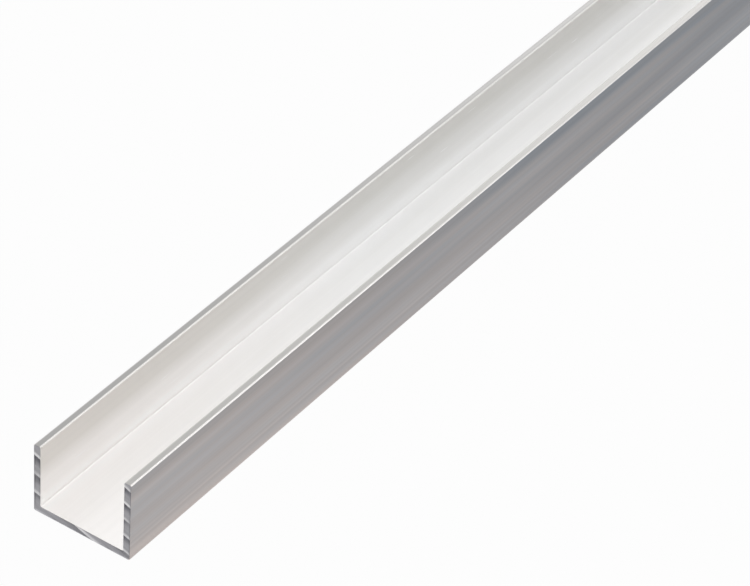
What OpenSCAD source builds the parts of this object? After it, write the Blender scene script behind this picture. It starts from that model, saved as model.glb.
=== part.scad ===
// Aluminium U channel with one flange taller than the other, extruded in one piece and sawn to length.
// The channel lies on its web: X runs along the length, Y across the web, and Z up the flanges.
// The taller flange is on the -Y side, and the origin is in the middle of the underside.

/* [Stock] */
// Length that the bar is sawn to
length = 1000; // [100:10:6000]

/* [Section] */
// Outside width, across the web
width = 21; // [14:0.5:60]
// Height of the taller flange, from the underside to its tip
tall_h = 17; // [8:0.5:60]
// Height of the shorter flange, from the underside to its tip
short_h = 15; // [8:0.5:60]
// Thickness of the web
web_t = 1.5; // [1:0.1:4]
// Thickness of each flange
flange_t = 1.5; // [1:0.1:4]

/* [Edges] */
// Radius of the outside corners, where the web turns into a flange
heel_r = 0.4; // [0.1:0.05:0.8]
// Radius of the fillets inside the channel
fillet_r = 0.3; // [0.1:0.05:1]
// Radius of the two edges of each flange tip
tip_r = 0.35; // [0.1:0.05:0.45]

/* [Hidden] */
mill_aluminium = [0.78, 0.77, 0.75];
// Clear width between the flanges
slot_w = width - 2 * flange_t;
$fn = 48;

// Height of the flange on one side: -1 carries the taller one, and 1 the shorter one
function flange_h(side) = side < 0 ? tall_h : short_h;

// The material between a square corner at the origin and the arc that rounds it, reaching past the corner
module corner(r) {
    difference() {
        translate([-r, -r]) square(2 * r);
        translate([r, r]) circle(r);
    }
}

// Turns a corner piece that opens towards +Y so that it opens towards the middle on either side
module facing_in(side) {
    mirror([side > 0 ? 1 : 0, 0]) children();
}

// Web and flanges before their edges are shaped
module square_u() {
    translate([-width / 2, 0]) square([width, web_t]);
    for (side = [-1, 1])
        translate([side * (width - flange_t) / 2 - flange_t / 2, 0]) square([flange_t, flange_h(side)]);
}

// Fillets where the web meets the flanges, inside the channel
module fillets() {
    for (side = [-1, 1])
        translate([side * slot_w / 2, web_t]) facing_in(side) corner(fillet_r);
}

// What the die leaves off the outside corners of the web
module heel_rounds() {
    for (side = [-1, 1])
        translate([side * width / 2, 0]) facing_in(side) corner(heel_r);
}

// What the die leaves off both edges of each flange tip
module tip_rounds() {
    for (side = [-1, 1])
        translate([0, flange_h(side)]) mirror([0, 1]) {
            translate([side * width / 2, 0]) facing_in(side) corner(tip_r);
            translate([side * slot_w / 2, 0]) facing_in(-side) corner(tip_r);
        }
}

// Section that the die gives, across Y and up Z
module section() {
    difference() {
        union() {
            square_u();
            fillets();
        }
        heel_rounds();
        tip_rounds();
    }
}

// The whole bar, sawn square at both ends
module u_channel() {
    color(mill_aluminium)
        translate([-length / 2, 0, 0])
            rotate([90, 0, 90])
                linear_extrude(length) section();
}

u_channel();
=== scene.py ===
import math
import random

import bmesh
import bpy
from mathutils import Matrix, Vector


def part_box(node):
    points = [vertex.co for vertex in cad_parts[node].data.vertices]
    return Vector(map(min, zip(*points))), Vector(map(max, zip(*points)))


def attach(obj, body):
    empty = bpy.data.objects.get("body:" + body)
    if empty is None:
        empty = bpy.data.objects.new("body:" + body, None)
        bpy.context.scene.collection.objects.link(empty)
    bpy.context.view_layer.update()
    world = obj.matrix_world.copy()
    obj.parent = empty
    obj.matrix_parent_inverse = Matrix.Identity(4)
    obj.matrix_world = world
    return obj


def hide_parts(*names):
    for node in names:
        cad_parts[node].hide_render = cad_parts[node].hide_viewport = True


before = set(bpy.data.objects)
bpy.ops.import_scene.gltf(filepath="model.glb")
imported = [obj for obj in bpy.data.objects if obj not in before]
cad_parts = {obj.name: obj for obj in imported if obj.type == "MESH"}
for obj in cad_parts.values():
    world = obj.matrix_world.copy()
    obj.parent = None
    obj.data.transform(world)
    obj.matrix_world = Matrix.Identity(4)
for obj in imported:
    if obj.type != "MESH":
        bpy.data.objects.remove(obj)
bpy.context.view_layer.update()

# The channel: one length of aluminium, pressed hot through a die that gives the web, a tall and a
# shorter flange and their rounded edges in one go. It is left as it comes, with no coating.
MM = 0.001
SHORT_FLANGE = 15 * MM
WEB_T = 1.5 * MM
FLANGE_T = 1.5 * MM
HEEL_R = 0.4 * MM
FILLET_R = 0.3 * MM
TIP_R = 0.35 * MM
ROUND_STEPS = 6
FLAT_ANGLE = math.radians(1)
TOUCH = 0.001 * MM

_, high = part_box("u_channel")
half_length = high.x
half_width = high.y
half_slot = half_width - FLANGE_T
flange_tip = {-1: high.z, 1: SHORT_FLANGE}


def pick(kind, wanted):
    """Selects the faces or edges of the mesh in edit mode that the test wants, and nothing else."""
    bpy.ops.mesh.select_all(action="DESELECT")
    bpy.ops.mesh.select_mode(type=kind)
    mesh = bmesh.from_edit_mesh(bpy.context.object.data)
    found = mesh.faces if kind == "FACE" else mesh.edges
    for item in found:
        item.select_set(wanted(item))
    mesh.select_flush_mode()
    bmesh.update_edit_mesh(bpy.context.object.data)


def near(value, target):
    """Tells whether two lengths are the same."""
    return abs(value - target) < TOUCH


def flange_foot(side):
    """Gives the test for the edge of the web that the flange on this side rises from."""
    def wanted(edge):
        return all(near(v.co.z, WEB_T) and side * v.co.y > half_slot - TOUCH for v in edge.verts)
    return wanted


def long_edge(y, z):
    """Gives the test for the edge along the bar at this place across the web and this height."""
    def wanted(edge):
        start, end = (v.co for v in edge.verts)
        return abs(start.x - end.x) > half_length and near(start.y, y) and near(start.z, z)
    return wanted


# The web's end comes first, then the flanges rise from its two edges.
bpy.ops.object.select_all(action="DESELECT")
bpy.ops.mesh.primitive_plane_add(size=1, location=(-half_length, 0, WEB_T / 2),
                                 rotation=(0, math.pi / 2, 0))
channel = bpy.context.object
channel.name = "u_channel_bar"
channel.scale = (WEB_T, 2 * half_width, 1)
bpy.ops.object.transform_apply(location=True, rotation=True, scale=True)
bpy.ops.object.mode_set(mode="EDIT")
for side in (-1, 1):
    bpy.ops.mesh.select_all(action="SELECT")
    bpy.ops.mesh.bisect(plane_co=(0, side * half_slot, 0), plane_no=(0, 1, 0))
for side in (-1, 1):
    pick("EDGE", flange_foot(side))
    rise = flange_tip[side] - WEB_T
    bpy.ops.mesh.extrude_region_move(TRANSFORM_OT_translate={"value": (0, 0, rise)})

# The section is drawn out to its length, and the die's rounds run along every long edge.
bpy.ops.mesh.select_mode(type="FACE")
bpy.ops.mesh.select_all(action="SELECT")
bpy.ops.mesh.extrude_region_move(TRANSFORM_OT_translate={"value": (2 * half_length, 0, 0)})
bpy.ops.mesh.select_all(action="SELECT")
bpy.ops.mesh.normals_make_consistent(inside=False)
bpy.ops.mesh.dissolve_limited(angle_limit=FLAT_ANGLE)
for side in (-1, 1):
    for y, z, radius in ((half_width, 0, HEEL_R), (half_slot, WEB_T, FILLET_R),
                         (half_width, flange_tip[side], TIP_R), (half_slot, flange_tip[side], TIP_R)):
        pick("EDGE", long_edge(side * y, z))
        bpy.ops.mesh.bevel(offset=radius, offset_type="OFFSET", segments=ROUND_STEPS, affect="EDGES")

# Both ends are sawn and their burr is brushed off. Each bite of the blade scoops out a shallow
# hollow, so crests run across the end on a slant, a few millimetres apart, and fan out a little.
BURR_BREAK = 0.16 * MM
BURR_STEPS = 2
BITE = 3.9 * MM
CUTS_A_BITE = 12
FIRST_CREST = 0.9 * MM
HOLLOW = 0.13 * MM
CREST_SHARPNESS = 5
TEAR = 0.01 * MM
TEAR_SEED = 5
CREST_SLOPE = 0.315
# How much steeper a crest runs for each metre that it lies higher.
SLOPE_FAN = 8.0


def foot_of(point):
    """Gives the height at which the crest line through this point crosses the middle of the end."""
    foot = point.z - CREST_SLOPE * point.y
    return foot / (1 + SLOPE_FAN * point.y) if foot > 0 else foot


step = BITE / CUTS_A_BITE
lowest = foot_of(Vector((0, half_width, 0)))
highest = foot_of(Vector((0, -half_width, high.z)))
cuts = round((highest - lowest) / step)
tearing = random.Random(TEAR_SEED)
torn_depth = [TEAR * tearing.random() for _ in range(cuts)]


def scooped(point):
    """Gives how far the blade has scooped out the end at this point."""
    foot = foot_of(point)
    from_middle = 2 * ((foot - FIRST_CREST) / BITE % 1) - 1
    cut = min(max(round((foot - lowest) / step), 0), cuts - 1)
    return HOLLOW * (1 - abs(from_middle) ** CREST_SHARPNESS) + torn_depth[cut]


def across_bar(x):
    """Gives the test for a face or an edge that lies across the bar at this place."""
    def wanted(item):
        return all(near(v.co.x, x) for v in item.verts)
    return wanted


for end in (-1, 1):
    sawn_x = end * half_length
    pick("EDGE", across_bar(sawn_x))
    bpy.ops.mesh.bevel(offset=BURR_BREAK, offset_type="OFFSET", segments=BURR_STEPS, affect="EDGES")
    for cut in range(cuts):
        foot = lowest + cut * step
        slope = CREST_SLOPE + SLOPE_FAN * max(foot, 0)
        pick("FACE", across_bar(sawn_x))
        bpy.ops.mesh.bisect(plane_co=(sawn_x, 0, foot), plane_no=(0, -slope, 1))
    mesh = bmesh.from_edit_mesh(channel.data)
    for vertex in mesh.verts:
        if near(vertex.co.x, sawn_x):
            vertex.co.x -= end * scooped(vertex.co)
    bmesh.update_edit_mesh(channel.data)
bpy.ops.object.mode_set(mode="OBJECT")


def linear(hex_colour):
    """Turns an sRGB hex colour into the linear one that a shader takes."""
    parts = [int(hex_colour[i:i + 2], 16) / 255 for i in (1, 3, 5)]
    return [c / 12.92 if c <= 0.04045 else ((c + 0.055) / 1.055) ** 2.4 for c in parts] + [1]


def add(owner, kind, inputs=None, **settings):
    """Adds a node. Each input is a value, an earlier node, or one socket of an earlier node."""
    tree = owner.node_tree
    node = tree.nodes.new(kind)
    for name, value in settings.items():
        setattr(node, name, value)
    for key, value in (inputs or {}).items():
        if isinstance(value, bpy.types.Node):
            value = next(socket for socket in value.outputs if socket.enabled)
        if isinstance(value, bpy.types.NodeSocket):
            tree.links.new(value, node.inputs[key])
        else:
            node.inputs[key].default_value = value
    return node


# Mill-finish aluminium, as the die leaves it: a soft grey sheen, drawn into fine lines along the bar,
# with broader bands that are a little warmer or cooler. Painted light drifts slowly along the bar, and
# painted shade leaves the outside darkest under the flange tips. The outside is painted darker and the
# inside paler, as painted shade and painted light on the one metal. Inside the skin is duller, palest
# at the web, greyer upwards and there a touch greyer towards the tall flange, all as painted shade, and
# it warms slightly where the painted light is lightest. The flange tips are the smoothest, painted
# grey as painted shade, and the rounds along their edges carry a painted highlight.
COOL_SKIN = "#8F9297"
WARM_SKIN = "#DDD4CF"
COOL_TINT = "#F7FBFF"
WARM_TINT = "#FFFBF9"
# Painted shade on the flange tips, darker on the short flange's tip.
TALL_TIP_PAINTED_SHADE = "#B0AEAC"
SHORT_TIP_PAINTED_SHADE = "#A2A1A0"
# Painted highlight on the rounds along the tip edges.
ROUND_PAINTED_HIGHLIGHT = "#D6D4D2"
# Painted light: the inside is painted paler than the outer skin.
INNER_PAINTED_LIGHT_SKIN = "#FDFDFD"
# Painted shade: the inside greys towards the flange tips.
INNER_PAINTED_SHADE_SKIN = "#EBEAE7"
INNER_PAINTED_WARM_LIGHT = "#FFFDFC"
NO_TINT = "#FFFFFF"
BARE_METAL = "#FFFFFF"
OUTER_ROUGH = 0.36
TIP_ROUGH = 0.32
INNER_ROUGH = 0.52
LINE_ROUGH = 0.03
# Real die lines and scratches are about a tenth of a millimetre wide. They are drawn as coarse as
# they need to be to show.
DIE_LINE = 0.7 * MM
LINE_RUN = 900 * MM
LINE_DETAIL = 1.5
LINE_RELIEF = 0.08
LINE_DEPTH = 0.01 * MM
OUTER_LINES = 0.08
INNER_LINES = 0.012
SCRATCH = 0.35 * MM
SCRATCH_RUN = 6 * MM
DIE_BAND = 3.2 * MM
BAND_RUN = 90 * MM
BAND_DETAIL = 1.5
BAND_SHADE = 0.12
INNER_BANDS = 1.5
HUE_BAND = 1.6 * MM
HUE_DETAIL = 1.0
# Painted light goes along the bar in waves of this length. It starts at this angle at the near end, in
# radians.
PAINTED_LIGHT_RUN = 510 * MM
PAINTED_LIGHT_START = 0.37
OUTER_PAINTED_LIGHT_SWING = 0.3
INNER_PAINTED_LIGHT_SWING = 0.032
# How much painted shade darkens the inside towards the tall flange.
INNER_PAINTED_SHADE_LEAN = 0.08
# Levels of a noise: its usual lowest and highest, those that the bands are spread over, and those
# that it reaches only in a few spots.
NOISE_LOW, NOISE_HIGH = 0.3, 0.7
BAND_LOW, BAND_HIGH = 0.25, 0.75
SPOT_LOW, SPOT_HIGH = 0.81, 0.86
# Where one finish gives way to the next: shares of the tip radius, places out from the inner face of
# a flange, down from the top of the web, and heights at which the inside's painted shade is palest and
# greyest.
TIP_BEGINS = 0.6
INNER_ENDS, OUTER_BEGINS = 0.05 * MM, 0.15 * MM
WEB_EDGE = 0.2 * MM
PALEST_Z, GREYEST_Z = 3 * MM, 12 * MM
# Painted shade on the outer face, darkest just under the tip: share of the way up the face, and how light and
# warm the skin is there.
OUTER_PAINTED_SHADE = ((0.0, 0.54), (0.15, 0.44), (0.35, 0.37), (0.6, 0.31), (0.75, 0.34), (0.92, 0.18), (1.0, 0.12))

mill = bpy.data.materials.new("mill_finish_aluminium")
mill.use_nodes = True
place = add(mill, "ShaderNodeTexCoord").outputs["Object"]
axes = add(mill, "ShaderNodeSeparateXYZ", {"Vector": place}).outputs
across = add(mill, "ShaderNodeMapRange", {"Value": axes["Y"], "From Min": -half_slot, "From Max": half_slot})
off_middle = add(mill, "ShaderNodeMath", {0: axes["Y"]}, operation="ABSOLUTE")

# Outside: painted shade by height, painted light that drifts slowly along the bar, and the bands with their
# hues.
tip_height = add(mill, "ShaderNodeMapRange", {
    "Value": across, "To Min": flange_tip[-1], "To Max": flange_tip[1]})
height = add(mill, "ShaderNodeMath", {0: axes["Z"], 1: tip_height}, operation="DIVIDE")
painted_shade_by_height = add(mill, "ShaderNodeValToRGB", {"Fac": height})
for share, _ in OUTER_PAINTED_SHADE[1:-1]:
    painted_shade_by_height.color_ramp.elements.new(share)
for stop, (_, level) in zip(painted_shade_by_height.color_ramp.elements, OUTER_PAINTED_SHADE):
    stop.color = (level, level, level, 1)
painted_light_phase = add(mill, "ShaderNodeMapRange", {
    "Value": axes["X"], "From Min": -half_length, "From Max": PAINTED_LIGHT_RUN - half_length,
    "To Min": PAINTED_LIGHT_START, "To Max": PAINTED_LIGHT_START + 2 * math.pi}, clamp=False)
painted_light_swing = add(mill, "ShaderNodeMath", {0: painted_light_phase}, operation="COSINE")
tone = add(mill, "ShaderNodeMath", {0: painted_light_swing, 1: OUTER_PAINTED_LIGHT_SWING, 2: painted_shade_by_height}, operation="MULTIPLY_ADD")
band_place = add(mill, "ShaderNodeMapping", {
    "Vector": place, "Scale": (1 / BAND_RUN, 1 / DIE_BAND, 1 / DIE_BAND)})
bands = add(mill, "ShaderNodeTexNoise", {"Vector": band_place, "Scale": 1.0, "Detail": BAND_DETAIL})
banded = add(mill, "ShaderNodeMapRange", {
    "Value": bands, "From Min": BAND_LOW, "From Max": BAND_HIGH,
    "To Min": -BAND_SHADE, "To Max": BAND_SHADE})
tone = add(mill, "ShaderNodeMath", {0: tone, 1: banded}, operation="ADD", use_clamp=True)
skin = add(mill, "ShaderNodeMix", {
    "Factor": tone, "A": linear(COOL_SKIN), "B": linear(WARM_SKIN)}, data_type="RGBA")
hue_place = add(mill, "ShaderNodeMapping", {
    "Vector": place, "Scale": (1 / BAND_RUN, 1 / HUE_BAND, 1 / HUE_BAND)})
hues = add(mill, "ShaderNodeTexNoise", {"Vector": hue_place, "Scale": 1.0, "Detail": HUE_DETAIL})
warmth = add(mill, "ShaderNodeMapRange", {"Value": hues, "From Min": NOISE_LOW, "From Max": NOISE_HIGH})
tint = add(mill, "ShaderNodeMix", {
    "Factor": warmth, "A": linear(COOL_TINT), "B": linear(WARM_TINT)}, data_type="RGBA")
skin = add(mill, "ShaderNodeVectorMath", {0: skin, 1: tint}, operation="MULTIPLY")

# On the flange tips: painted shade, grey along the middle, and a painted highlight, pale on the rounds.
below_tip = add(mill, "ShaderNodeMath", {0: tip_height, 1: axes["Z"]}, operation="SUBTRACT")
on_tip = add(mill, "ShaderNodeMapRange", {
    "Value": below_tip, "From Min": TIP_BEGINS * TIP_R, "From Max": TIP_R, "To Min": 1.0, "To Max": 0.0})
off_flange = add(mill, "ShaderNodeMath", {0: off_middle, 1: half_slot + FLANGE_T / 2}, operation="SUBTRACT")
off_flange = add(mill, "ShaderNodeMath", {0: off_flange}, operation="ABSOLUTE")
# Painted highlight on the rounds along the tip edges.
painted_round_highlight = add(mill, "ShaderNodeMapRange", {
    "Value": off_flange, "From Min": FLANGE_T / 2 - TIP_R, "From Max": FLANGE_T / 2 - TIP_BEGINS * TIP_R})
tip = add(mill, "ShaderNodeMix", {
    "Factor": across, "A": linear(TALL_TIP_PAINTED_SHADE), "B": linear(SHORT_TIP_PAINTED_SHADE)}, data_type="RGBA")
tip = add(mill, "ShaderNodeMix", {"Factor": painted_round_highlight, "A": tip, "B": linear(ROUND_PAINTED_HIGHLIGHT)}, data_type="RGBA")
skin = add(mill, "ShaderNodeMix", {"Factor": on_tip, "A": skin, "B": tip}, data_type="RGBA")

# Inside: painted paler than the outside, as painted light, and paler from the flange tips down to the web, as
# painted shade, with a few short light scratches.
between = add(mill, "ShaderNodeMapRange", {
    "Value": off_middle, "From Min": half_slot + INNER_ENDS, "From Max": half_slot + OUTER_BEGINS,
    "To Min": 1.0, "To Max": 0.0})
above = add(mill, "ShaderNodeMapRange", {"Value": axes["Z"], "From Min": WEB_T - WEB_EDGE, "From Max": WEB_T})
inside = add(mill, "ShaderNodeMath", {0: between, 1: above}, operation="MULTIPLY")
# Painted shade inside, greyer upwards from the web, mixed with the bands.
painted_shade_and_bands = add(mill, "ShaderNodeMapRange", {"Value": axes["Z"], "From Min": PALEST_Z, "From Max": GREYEST_Z})
painted_shade_and_bands = add(mill, "ShaderNodeMath", {0: banded, 1: INNER_BANDS, 2: painted_shade_and_bands},
              operation="MULTIPLY_ADD", use_clamp=True)
pale = add(mill, "ShaderNodeMix", {
    "Factor": painted_shade_and_bands, "A": linear(INNER_PAINTED_LIGHT_SKIN), "B": linear(INNER_PAINTED_SHADE_SKIN)}, data_type="RGBA")
scratch_place = add(mill, "ShaderNodeMapping", {
    "Vector": place, "Scale": (1 / SCRATCH_RUN, 1 / SCRATCH, 1 / SCRATCH)})
scratches = add(mill, "ShaderNodeTexNoise", {"Vector": scratch_place, "Scale": 1.0, "Detail": 0.0})
scratched = add(mill, "ShaderNodeMapRange", {"Value": scratches, "From Min": SPOT_LOW, "From Max": SPOT_HIGH})
pale = add(mill, "ShaderNodeMix", {"Factor": scratched, "A": pale, "B": linear(BARE_METAL)}, data_type="RGBA")
# Painted warm light inside, warmest where the painted light along the bar is lightest.
painted_warm_light = add(mill, "ShaderNodeMix", {
    "Factor": painted_light_swing, "A": linear(NO_TINT), "B": linear(INNER_PAINTED_WARM_LIGHT)}, data_type="RGBA")
pale = add(mill, "ShaderNodeVectorMath", {0: pale, 1: painted_warm_light}, operation="MULTIPLY")
shade = add(mill, "ShaderNodeMix", {"Factor": inside, "A": skin, "B": pale}, data_type="RGBA")

# The die's fine lines: lighter and darker, duller and brighter, and faintly raised. The inside has its own
# painted light along the bar, and painted shade that leans darker towards the tall flange.
line_place = add(mill, "ShaderNodeMapping", {
    "Vector": place, "Scale": (1 / LINE_RUN, 1 / DIE_LINE, 1 / DIE_LINE)})
lines = add(mill, "ShaderNodeTexNoise", {"Vector": line_place, "Scale": 1.0, "Detail": LINE_DETAIL})
drawn = add(mill, "ShaderNodeMapRange", {
    "Value": lines, "From Min": NOISE_LOW, "From Max": NOISE_HIGH, "To Min": -1.0, "To Max": 1.0})
depth = add(mill, "ShaderNodeMapRange", {"Value": on_tip, "To Min": OUTER_LINES, "To Max": 0.0})
depth = add(mill, "ShaderNodeMapRange", {"Value": inside, "To Min": depth, "To Max": INNER_LINES})
inner_painted_light = add(mill, "ShaderNodeMapRange", {"Value": inside, "To Min": 0.0, "To Max": INNER_PAINTED_LIGHT_SWING})
painted_shade_lean = add(mill, "ShaderNodeMapRange", {"Value": across, "To Min": -INNER_PAINTED_SHADE_LEAN, "To Max": 0.0})
painted_light_and_lines = add(mill, "ShaderNodeMath", {0: painted_light_swing, 1: inner_painted_light, 2: 1.0}, operation="MULTIPLY_ADD")
painted_light_and_lines = add(mill, "ShaderNodeMath", {0: painted_shade_lean, 1: inside, 2: painted_light_and_lines}, operation="MULTIPLY_ADD")
painted_light_and_lines = add(mill, "ShaderNodeMath", {0: drawn, 1: depth, 2: painted_light_and_lines}, operation="MULTIPLY_ADD")
shade = add(mill, "ShaderNodeVectorMath", {0: shade, "Scale": painted_light_and_lines}, operation="SCALE")
rough = add(mill, "ShaderNodeMapRange", {"Value": on_tip, "To Min": OUTER_ROUGH, "To Max": TIP_ROUGH})
rough = add(mill, "ShaderNodeMapRange", {"Value": inside, "To Min": rough, "To Max": INNER_ROUGH})
rough = add(mill, "ShaderNodeMath", {0: drawn, 1: LINE_ROUGH, 2: rough}, operation="MULTIPLY_ADD")
raised = add(mill, "ShaderNodeMapRange", {"Value": on_tip, "To Min": LINE_RELIEF, "To Max": 0.0})
relief = add(mill, "ShaderNodeBump", {"Height": lines, "Strength": raised, "Distance": LINE_DEPTH})
shader = mill.node_tree.nodes["Principled BSDF"]
shader.inputs["Metallic"].default_value = 1.0
mill.node_tree.links.new(shade.outputs[0], shader.inputs["Base Color"])
mill.node_tree.links.new(rough.outputs[0], shader.inputs["Roughness"])
mill.node_tree.links.new(relief.outputs[0], shader.inputs["Normal"])
channel.data.materials.append(mill)

# Sawn aluminium: bare grey metal. A painted highlight runs along each crest of the blade's bite, and
# painted shade darkens the metal just under the next crest, more in some patches than in others and least
# on the web. The teeth leave fine streaks, drawn coarser than they are so that they show.
SAWN_PAINTED_SHADE = "#6F6E75"
SAWN_GREY = "#AAA9AD"
SAWN_PAINTED_HIGHLIGHT = "#E6E5E6"
SAWN_ROUGH = 0.38
STREAK = 0.5 * MM
STREAK_RUN = 9 * MM
STREAK_DETAIL = 2.0
STREAK_SHADE = 0.08
STREAK_RELIEF = 0.25
STREAK_DEPTH = 0.02 * MM
PATCH = 5 * MM
PATCH_LOW, PATCH_HIGH = 0.3, 0.6
FAINTEST_MARK = 0.15
# Shares of a bite, from one crest to the next.
BRIGHT_TO, BRIGHT_ENDS = 0.06, 0.2
SHADE_FROM, SHADE_FULLY = 0.45, 0.9
# How much of the painted shade the web shows, the height from which all of it shows, and the foot of the
# lowest crest that has the painted highlight.
WEB_PAINTED_SHADE = 0.4
FULL_PAINTED_SHADE_Z = 4.5 * MM
FIRST_PAINTED_HIGHLIGHT = -0.5 * BITE
END_FACING = 0.8
SMOOTH_ANGLE = math.radians(30)

sawn = bpy.data.materials.new("sawn_aluminium")
sawn.use_nodes = True
place = add(sawn, "ShaderNodeTexCoord").outputs["Object"]
axes = add(sawn, "ShaderNodeSeparateXYZ", {"Vector": place}).outputs
foot = add(sawn, "ShaderNodeMath", {0: axes["Y"], 1: -CREST_SLOPE, 2: axes["Z"]}, operation="MULTIPLY_ADD")
fan = add(sawn, "ShaderNodeMath", {0: axes["Y"], 1: SLOPE_FAN, 2: 1.0}, operation="MULTIPLY_ADD")
foot = add(sawn, "ShaderNodeMath", {0: foot, 1: fan}, operation="DIVIDE")
bite = add(sawn, "ShaderNodeMapRange", {
    "Value": foot, "From Min": FIRST_CREST, "From Max": FIRST_CREST + BITE}, clamp=False)
bite = add(sawn, "ShaderNodeMath", {0: bite}, operation="FRACT")
patches = add(sawn, "ShaderNodeTexNoise", {"Vector": place, "Scale": 1 / PATCH, "Detail": 1.0})
strength = add(sawn, "ShaderNodeMapRange", {
    "Value": patches, "From Min": PATCH_LOW, "From Max": PATCH_HIGH, "To Min": FAINTEST_MARK, "To Max": 1.0})
# Painted shade just under each crest.
painted_crest_shade = add(sawn, "ShaderNodeMapRange", {"Value": bite, "From Min": SHADE_FROM, "From Max": SHADE_FULLY},
           interpolation_type="SMOOTHSTEP")
painted_crest_shade = add(sawn, "ShaderNodeMath", {0: painted_crest_shade, 1: strength}, operation="MULTIPLY")
off_web = add(sawn, "ShaderNodeMapRange", {
    "Value": axes["Z"], "From Min": WEB_T, "From Max": FULL_PAINTED_SHADE_Z, "To Min": WEB_PAINTED_SHADE, "To Max": 1.0})
painted_crest_shade = add(sawn, "ShaderNodeMath", {0: painted_crest_shade, 1: off_web}, operation="MULTIPLY")
# Painted highlight along each crest.
painted_crest_highlight = add(sawn, "ShaderNodeMapRange", {
    "Value": bite, "From Min": BRIGHT_TO, "From Max": BRIGHT_ENDS, "To Min": 1.0, "To Max": 0.0},
    interpolation_type="SMOOTHSTEP")
painted_crest_highlight = add(sawn, "ShaderNodeMath", {0: painted_crest_highlight, 1: strength}, operation="MULTIPLY")
begun = add(sawn, "ShaderNodeMapRange", {"Value": foot, "From Min": FIRST_PAINTED_HIGHLIGHT, "From Max": 0.0})
painted_crest_highlight = add(sawn, "ShaderNodeMath", {0: painted_crest_highlight, 1: begun}, operation="MULTIPLY")
metal = add(sawn, "ShaderNodeMix", {
    "Factor": painted_crest_shade, "A": linear(SAWN_GREY), "B": linear(SAWN_PAINTED_SHADE)}, data_type="RGBA")
metal = add(sawn, "ShaderNodeMix", {
    "Factor": painted_crest_highlight, "A": metal, "B": linear(SAWN_PAINTED_HIGHLIGHT)}, data_type="RGBA")
turned = add(sawn, "ShaderNodeMapping", {"Vector": place, "Rotation": (-math.atan(CREST_SLOPE), 0, 0)})
streak_place = add(sawn, "ShaderNodeMapping", {
    "Vector": turned, "Scale": (1 / STREAK_RUN, 1 / STREAK_RUN, 1 / STREAK)})
streaks = add(sawn, "ShaderNodeTexNoise", {"Vector": streak_place, "Scale": 1.0, "Detail": STREAK_DETAIL})
streaky = add(sawn, "ShaderNodeMapRange", {
    "Value": streaks, "From Min": NOISE_LOW, "From Max": NOISE_HIGH,
    "To Min": 1 - STREAK_SHADE, "To Max": 1 + STREAK_SHADE})
metal = add(sawn, "ShaderNodeVectorMath", {0: metal, "Scale": streaky}, operation="SCALE")
relief = add(sawn, "ShaderNodeBump", {"Height": streaks, "Strength": STREAK_RELIEF, "Distance": STREAK_DEPTH})
shader = sawn.node_tree.nodes["Principled BSDF"]
shader.inputs["Metallic"].default_value = 1.0
shader.inputs["Roughness"].default_value = SAWN_ROUGH
sawn.node_tree.links.new(metal.outputs[0], shader.inputs["Base Color"])
sawn.node_tree.links.new(relief.outputs[0], shader.inputs["Normal"])
channel.data.materials.append(sawn)

bpy.ops.object.mode_set(mode="EDIT")
pick("FACE", lambda face: abs(face.normal.x) > END_FACING)
channel.active_material_index = channel.data.materials.find(sawn.name)
bpy.ops.object.material_slot_assign()
bpy.ops.object.mode_set(mode="OBJECT")
bpy.ops.object.shade_smooth_by_angle(angle=SMOOTH_ANGLE)
weighted = channel.modifiers.new("flat_faces_stay_flat", "WEIGHTED_NORMAL")
weighted.keep_sharp = True
bpy.ops.object.modifier_apply(modifier=weighted.name)
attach(channel, "root")
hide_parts("u_channel")

# The floor: plain white board that the bar lies on. It shows white to the eye and a little greyer in
# the metal, and the bar's soft shadow still darkens it.
FLOOR_SIZE = 12000 * MM
FLOOR_GAP = 0.05 * MM
FLOOR_WHITE = "#F4F4F4"
BOARD_ROUGH = 0.9
SHOWN_WHITE = 0.97
MIRRORED_WHITE = 0.66
PURE_WHITE = "#FFFFFF"

bpy.ops.mesh.primitive_plane_add(size=FLOOR_SIZE, location=(0, 0, -FLOOR_GAP))
floor = bpy.context.object
floor.name = "floor"
board = bpy.data.materials.new("white_board")
board.use_nodes = True
shader = board.node_tree.nodes["Principled BSDF"]
shader.inputs["Base Color"].default_value = linear(FLOOR_WHITE)
shader.inputs["Roughness"].default_value = BOARD_ROUGH
shader.inputs["Specular IOR Level"].default_value = 0.0
ray = add(board, "ShaderNodeLightPath").outputs
seen = add(board, "ShaderNodeMath", {0: ray["Is Camera Ray"], 1: SHOWN_WHITE}, operation="MULTIPLY")
bent = add(board, "ShaderNodeMath", {0: ray["Is Glossy Ray"], 1: ray["Is Transmission Ray"]},
           operation="MAXIMUM")
bent = add(board, "ShaderNodeMath", {0: bent, 1: MIRRORED_WHITE}, operation="MULTIPLY")
share = add(board, "ShaderNodeMath", {0: seen, 1: bent}, operation="MAXIMUM")
glow = add(board, "ShaderNodeEmission", {"Color": linear(PURE_WHITE), "Strength": 1.0})
both = add(board, "ShaderNodeMixShader", {0: share, 1: shader, 2: glow})
board.node_tree.links.new(both.outputs[0], board.node_tree.nodes["Material Output"].inputs["Surface"])
floor.data.materials.append(board)

# The room: even and white to the eye and in the metal, with a slightly darker ceiling straight above,
# and dimmer as a light, so that the lamps still give the bar its shape.
ROOM_LIGHT = 0.35
MIRRORED_CEILING = 0.85
# How steeply a ray rises where the ceiling begins to darken, and where it is darkest.
CEILING_BEGINS, CEILING_DARKEST = 0.88, 0.98

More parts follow.
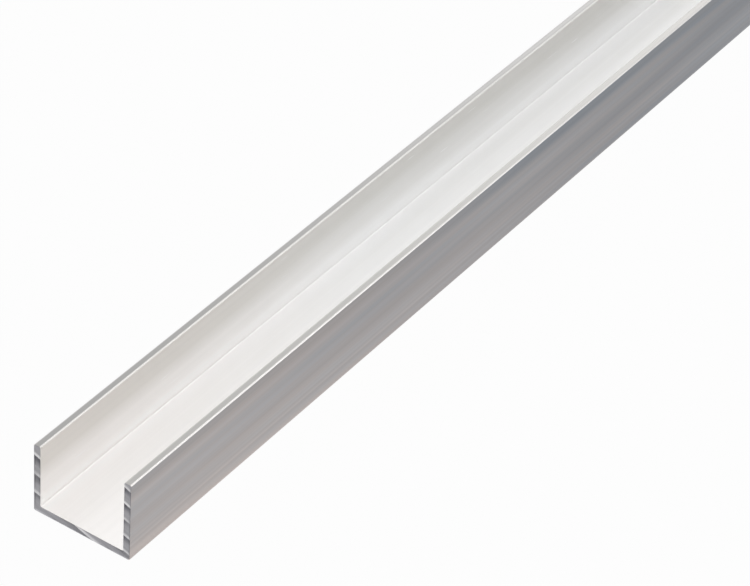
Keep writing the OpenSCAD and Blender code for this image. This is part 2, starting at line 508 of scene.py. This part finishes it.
room = bpy.data.worlds.new("white_room")
bpy.context.scene.world = room
room.use_nodes = True
ray = add(room, "ShaderNodeLightPath").outputs
seen = add(room, "ShaderNodeMath", {0: ray["Is Camera Ray"], 1: ray["Is Glossy Ray"]}, operation="MAXIMUM")
seen = add(room, "ShaderNodeMath", {0: seen, 1: ray["Is Transmission Ray"]}, operation="MAXIMUM")
way = add(room, "ShaderNodeTexCoord").outputs["Generated"]
rising = add(room, "ShaderNodeSeparateXYZ", {"Vector": way}).outputs["Z"]
ceiling = add(room, "ShaderNodeMapRange", {
    "Value": rising, "From Min": CEILING_BEGINS, "From Max": CEILING_DARKEST,
    "To Min": 1.0, "To Max": MIRRORED_CEILING})
strength = add(room, "ShaderNodeMapRange", {"Value": seen, "To Min": ROOM_LIGHT, "To Max": ceiling})
background = room.node_tree.nodes["Background"]
background.inputs["Color"].default_value = linear(PURE_WHITE)
room.node_tree.links.new(strength.outputs[0], background.inputs["Strength"])

# The lamps: a large dim soft box behind the bar, one beyond it that the flange tips mirror, a low one
# at the side for the rounds along the tips, a small one for the fillets, and one low before the sawn
# end. Each has its place and aim from the near end in mm, its width and height in mm, and how bright
# its face is, where 1 is white.
SOFT_BOXES = (
    ("back_soft_box", (760, 520, 850), (100, 0, 5), (1500, 1100), 0.14),
    ("far_soft_box", (790, 290, 420), (80, 0, 5), (280, 260), 1.1),
    ("side_soft_box", (540, -560, 140), (540, 0, 5), (400, 220), 1.9),
    ("fillet_soft_box", (480, -300, 620), (480, 0, 5), (180, 70), 7.0),
    ("end_soft_box", (-700, 150, 130), (0, 0, 5), (200, 200), 4.0),
)
near_end = Vector((-half_length, 0, 0))

for name, offset, aim, (box_width, box_height), brightness in SOFT_BOXES:
    lamp = bpy.data.lights.new(name, "AREA")
    lamp.shape = "RECTANGLE"
    lamp.size = box_width * MM
    lamp.size_y = box_height * MM
    lamp.energy = brightness * math.pi * lamp.size * lamp.size_y
    box = bpy.data.objects.new(name, lamp)
    bpy.context.scene.collection.objects.link(box)
    box.location = near_end + Vector(offset) * MM
    box.rotation_euler = (near_end + Vector(aim) * MM - box.location).to_track_quat("-Z", "Y").to_euler()

# The camera: a long lens that looks down the bar from its sawn end, tipped slightly to one side.
# Its place is from the near end, its turn in degrees, and its lens and sensor in mm.
CAMERA_OFFSET = Vector((-340.1, -267.9, 393.6)) * MM
CAMERA_TURN = (51.938, -3.515, -55.271)
LENS = 162.35
SENSOR = 36
NEAREST = 10 * MM

camera_data = bpy.data.cameras.new("camera")
camera_data.sensor_fit = "HORIZONTAL"
camera_data.sensor_width = SENSOR
camera_data.lens = LENS
camera_data.clip_start = NEAREST
camera = bpy.data.objects.new("camera", camera_data)
bpy.context.scene.collection.objects.link(camera)
camera.location = near_end + CAMERA_OFFSET
camera.rotation_euler = [math.radians(angle) for angle in CAMERA_TURN]
bpy.context.scene.camera = camera
bpy.context.scene.view_settings.view_transform = "Standard"
